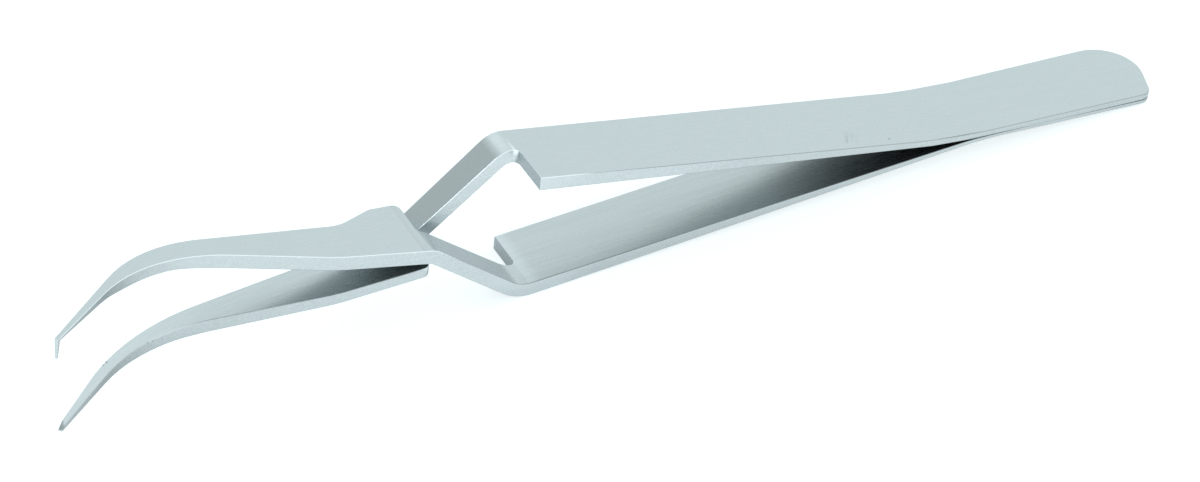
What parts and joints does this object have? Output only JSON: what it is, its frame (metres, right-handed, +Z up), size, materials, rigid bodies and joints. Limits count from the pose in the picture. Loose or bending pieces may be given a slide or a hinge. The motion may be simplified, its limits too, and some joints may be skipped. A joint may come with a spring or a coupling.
{
  "type": "smd tweezers",
  "caption": "Self-closing crossover tweezers of sprung steel strip with slim tips that curve to one side.",
  "frame": {"origin": "centre of the bounding box in plan, on the surface that the tweezers lie on", "axes": "+X along the tweezers from the tips to the welded tail, +Y away from the side the tips curve to, +Z up"},
  "size_m": [0.1174, 0.0136, 0.017],
  "materials": {
    "brushed_strip": "finely ground lengthwise"
  },
  "bodies": {
    "root": {"upper_blade": "brushed_strip", "lower_blade": "brushed_strip"}
  },
  "joints": []
}
